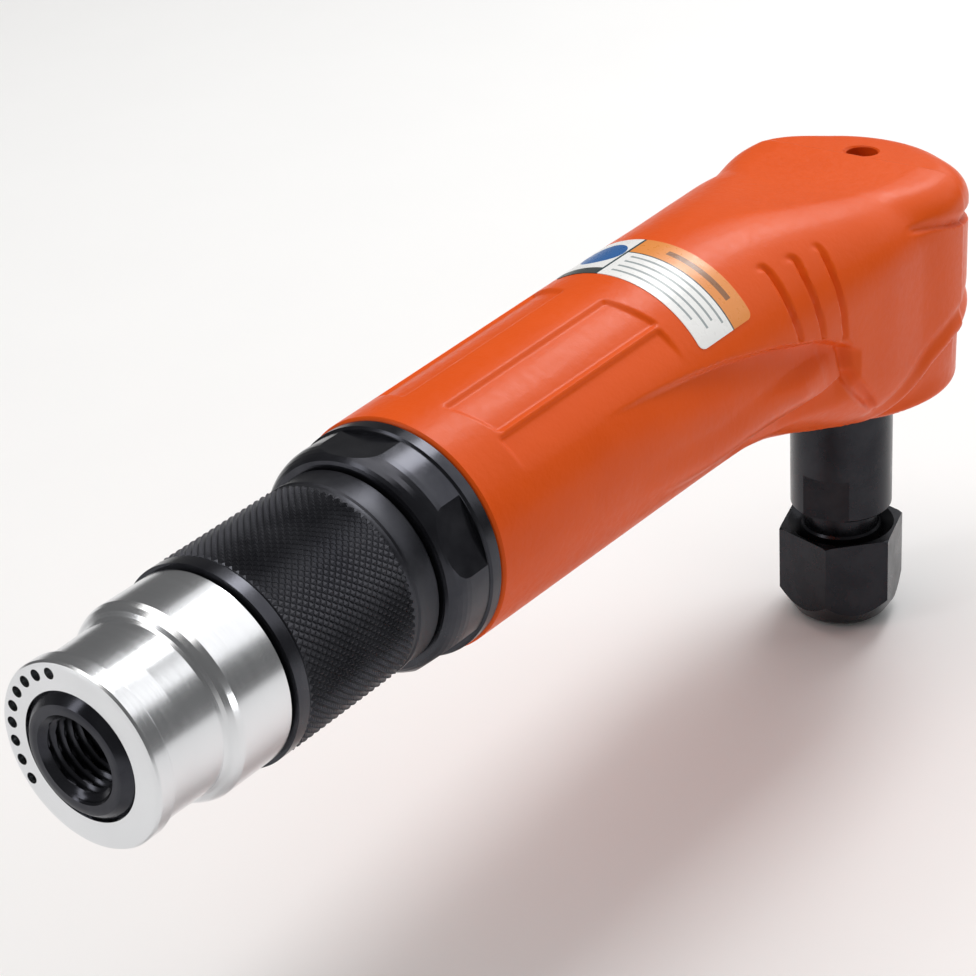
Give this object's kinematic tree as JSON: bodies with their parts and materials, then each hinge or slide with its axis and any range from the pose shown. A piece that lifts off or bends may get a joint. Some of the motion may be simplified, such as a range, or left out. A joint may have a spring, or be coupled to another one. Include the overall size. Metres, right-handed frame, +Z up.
{
  "type": "right-angle air die grinder",
  "caption": "Pneumatic right-angle die grinder with roll throttle, swivelling rear exhaust sleeve, vane motor, bevel gears and collet spindle.",
  "frame": {"origin": "centre of the collet bore at the collet mouth, on the spindle axis", "axes": "+Z up the spindle axis towards the head, +X along the grip from the air inlet to the front of the head, +Y to the left of the grip"},
  "size_m": [0.1837, 0.038, 0.0817],
  "materials": {
    "housing_paint": "glossy orange enamel with a fine orange peel",
    "label": "printed vinyl, white with an orange band",
    "dark_steel": "phosphated steel",
    "bearing_iron": "ground",
    "steel": "ground",
    "gear_steel": "hardened, dull",
    "black_oxide": "black oxide steel, satin",
    "vane_composite": "resin-bonded cloth, modelled as plastic",
    "seal_rubber": "moulded",
    "screen_brass": "fine mesh, simplified",
    "machined_aluminium": "turned, bright",
    "muffler_felt": "dense felt ring",
    "cage_brass": "machined",
    "bearing_steel": "polished"
  },
  "bodies": {
    "tool_body": {"housing": "housing_paint", "label_plate": "label", "grease_fitting": "dark_steel", "rear_plate": "bearing_iron", "front_plate": "bearing_iron", "motor_cylinder": "bearing_iron", "motor_pin": "steel", "bearing_spacer": "steel", "rear_race_outer": "bearing_steel", "front_race_outer": "bearing_steel", "pinion_race_outer": "bearing_steel", "spindle_race_outer": "bearing_steel", "needle_cup": "steel", "bearing_retainer": "dark_steel", "spindle_seal": "seal_rubber", "lock_nut": "black_oxide", "stop_pin": "steel", "inlet_bushing": "black_oxide", "inlet_screen": "screen_brass", "rear_o_ring": "seal_rubber", "front_o_ring": "seal_rubber", "rear_ring": "black_oxide"},
    "rotor_shaft": {"rotor": "steel", "rotor_vanes": "vane_composite", "rear_race_inner": "bearing_steel", "front_race_inner": "bearing_steel", "bevel_pinion": "gear_steel", "pinion_race_inner": "bearing_steel"},
    "rear_ball_train": {"rear_balls": "bearing_steel", "rear_cage": "cage_brass"},
    "front_ball_train": {"front_balls": "bearing_steel", "front_cage": "cage_brass"},
    "pinion_ball_train": {"pinion_balls": "bearing_steel", "pinion_cage": "cage_brass"},
    "spindle_shaft": {"spindle": "black_oxide", "bevel_gear": "gear_steel", "gear_key": "steel", "gear_clip": "dark_steel", "spindle_race_inner": "bearing_steel"},
    "spindle_ball_train": {"spindle_balls": "bearing_steel", "spindle_cage": "cage_brass"},
    "needle_train": {"needle_rollers": "steel"},
    "collet_body": {"collet": "steel"},
    "nut_body": {"collet_nut": "black_oxide"},
    "throttle": {"throttle_sleeve": "black_oxide"},
    "exhaust_deflector": {"exhaust_sleeve": "machined_aluminium", "muffler": "muffler_felt"}
  },
  "joints": [
    {"name": "rotor_spin", "type": "hinge", "parent": "tool_body", "child": "rotor_shaft", "pos_m": [0, 0, 0.0635], "axis": [1, 0, 0], "continuous": true},
    {"name": "rear_balls_roll", "type": "hinge", "parent": "tool_body", "child": "rear_ball_train", "pos_m": [-0.0943, 0, 0.0635], "axis": [1, 0, 0], "continuous": true},
    {"name": "front_balls_roll", "type": "hinge", "parent": "tool_body", "child": "front_ball_train", "pos_m": [-0.047, 0, 0.0635], "axis": [1, 0, 0], "continuous": true},
    {"name": "pinion_balls_roll", "type": "hinge", "parent": "tool_body", "child": "pinion_ball_train", "pos_m": [-0.0265, 0, 0.0635], "axis": [1, 0, 0], "continuous": true},
    {"name": "spindle_spin", "type": "hinge", "parent": "tool_body", "child": "spindle_shaft", "pos_m": [0, 0, 0], "axis": [0, 0, 1], "continuous": true},
    {"name": "spindle_balls_roll", "type": "hinge", "parent": "tool_body", "child": "spindle_ball_train", "pos_m": [0, 0, 0], "axis": [0, 0, 1], "continuous": true},
    {"name": "needles_roll", "type": "hinge", "parent": "tool_body", "child": "needle_train", "pos_m": [0, 0, 0], "axis": [0, 0, 1], "continuous": true},
    {"name": "collet_release", "type": "slide", "parent": "spindle_shaft", "child": "collet_body", "axis": [0, 0, -1], "range_m": [0, 0.0015]},
    {"name": "collet_nut_turn", "type": "hinge", "parent": "collet_body", "child": "nut_body", "pos_m": [0, 0, 0], "axis": [0, 0, 1], "range_deg": [0, 540]},
    {"name": "throttle_roll", "type": "hinge", "parent": "tool_body", "child": "throttle", "pos_m": [-0.1291, 0, 0.0635], "axis": [1, 0, 0], "range_deg": [0, 45]},
    {"name": "exhaust_swivel", "type": "hinge", "parent": "tool_body", "child": "exhaust_deflector", "pos_m": [-0.1536, 0, 0.0635], "axis": [1, 0, 0], "continuous": true}
  ],
  "couplings": [
    {"joint": "rear_balls_roll", "follows": "rotor_spin", "ratio": 0.38148},
    {"joint": "front_balls_roll", "follows": "rotor_spin", "ratio": 0.38148},
    {"joint": "pinion_balls_roll", "follows": "rotor_spin", "ratio": 0.40345},
    {"joint": "spindle_spin", "follows": "rotor_spin", "ratio": -0.6},
    {"joint": "spindle_balls_roll", "follows": "rotor_spin", "ratio": -0.228},
    {"joint": "needles_roll", "follows": "rotor_spin", "ratio": -0.24324},
    {"joint": "collet_nut_turn", "follows": "collet_release", "rad_per_m": 6283.2}
  ]
}
